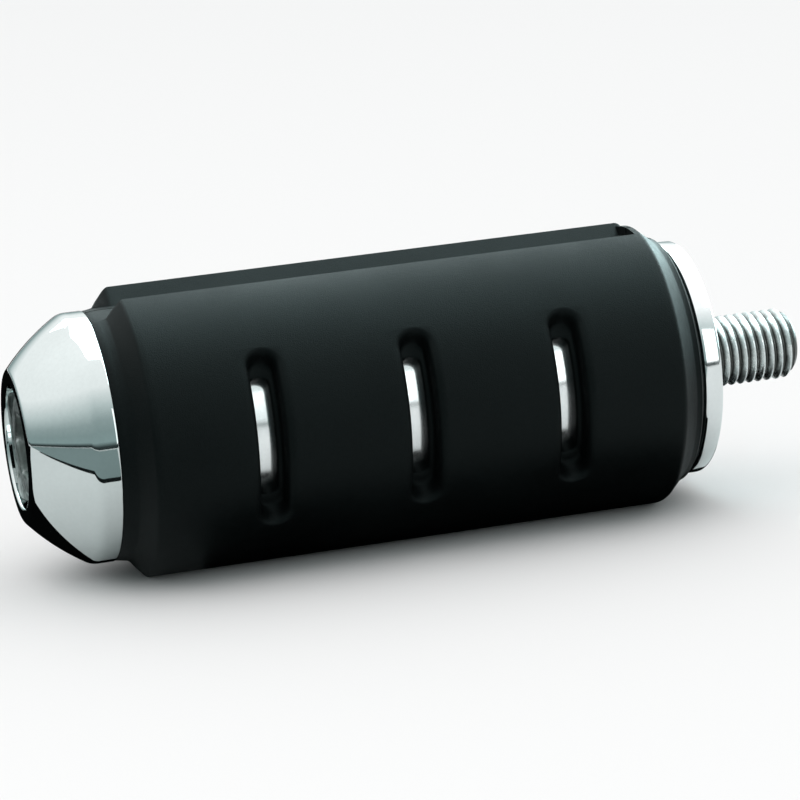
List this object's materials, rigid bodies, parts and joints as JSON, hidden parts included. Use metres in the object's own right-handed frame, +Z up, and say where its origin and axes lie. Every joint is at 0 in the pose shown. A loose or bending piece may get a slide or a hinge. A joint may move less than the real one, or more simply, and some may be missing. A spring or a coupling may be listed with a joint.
{
  "type": "motorcycle foot peg",
  "caption": "Round foot peg with rubber pads on a chrome core, a domed end cap, an inner flange and a long socket head bolt whose threaded end screws into a lever.",
  "frame": {"origin": "centre of the inner flange's seat face, on the bolt's axis", "axes": "+X out along the bolt's threaded end, +Z up, the pads centred on -Y and +Y with the gaps between them at +Z and -Z"},
  "size_m": [0.0889, 0.0318, 0.0308],
  "materials": {
    "chrome_cap": "mirror-bright chrome plate",
    "chrome_core": "bright chrome plate",
    "chrome_flange": "bright chrome plate",
    "rubber": "satin black moulded rubber",
    "zinc_steel": "dull zinc plate",
    "spring_steel": "plain spring steel"
  },
  "bodies": {
    "peg": {"end_cap": "chrome_cap", "core_sleeve": "chrome_core", "inner_flange": "chrome_flange", "front_pad": "rubber", "rear_pad": "rubber", "lock_washer": "spring_steel"},
    "bolt": {"mounting_bolt": "zinc_steel"}
  },
  "joints": [
    {"name": "bolt_turn", "type": "hinge", "parent": "peg", "child": "bolt", "pos_m": [0, 0, 0], "axis": [1, 0, 0], "continuous": true}
  ]
}
